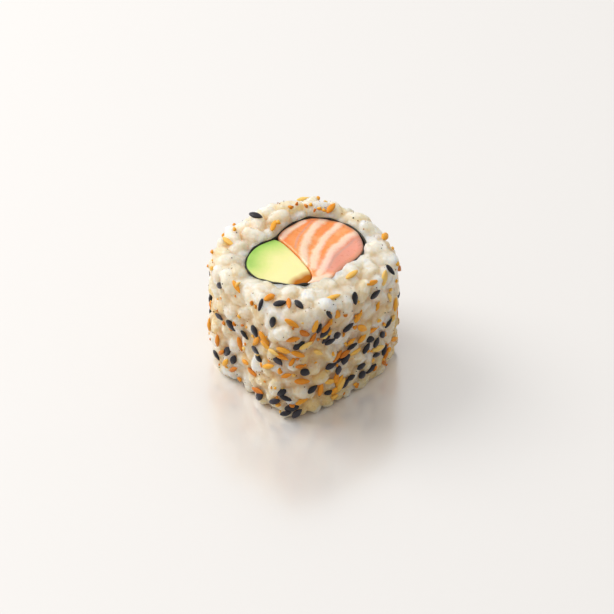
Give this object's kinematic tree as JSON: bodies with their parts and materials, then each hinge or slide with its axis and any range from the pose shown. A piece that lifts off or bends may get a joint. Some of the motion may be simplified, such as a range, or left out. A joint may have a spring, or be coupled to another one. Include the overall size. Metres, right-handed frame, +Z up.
{
  "type": "salmon avocado roll",
  "caption": "Inside-out sushi roll piece standing on a cut face: a rice ring coated in sesame seeds, a nori sheet, salmon and avocado.",
  "frame": {"origin": "centre of the underside, on the surface that the roll stands on", "axes": "+Z up along the roll, which is its shortest side; -Y is the side that is seen first; +X to the right of that view"},
  "size_m": [0.0417, 0.0419, 0.0306],
  "materials": {
    "rice": "moist glossy translucent cooked rice grains, off-white, with black and toasted sesame seeds",
    "nori": "thin dark green-black seaweed sheet, damp, slightly rough",
    "salmon": "raw orange salmon, moist, with curved pale fat stripes",
    "avocado": "smooth ripe avocado flesh, green at the skin side and pale yellow within"
  },
  "bodies": {
    "root": {"rice": "rice", "nori": "nori", "salmon": "salmon", "avocado": "avocado"}
  },
  "joints": []
}
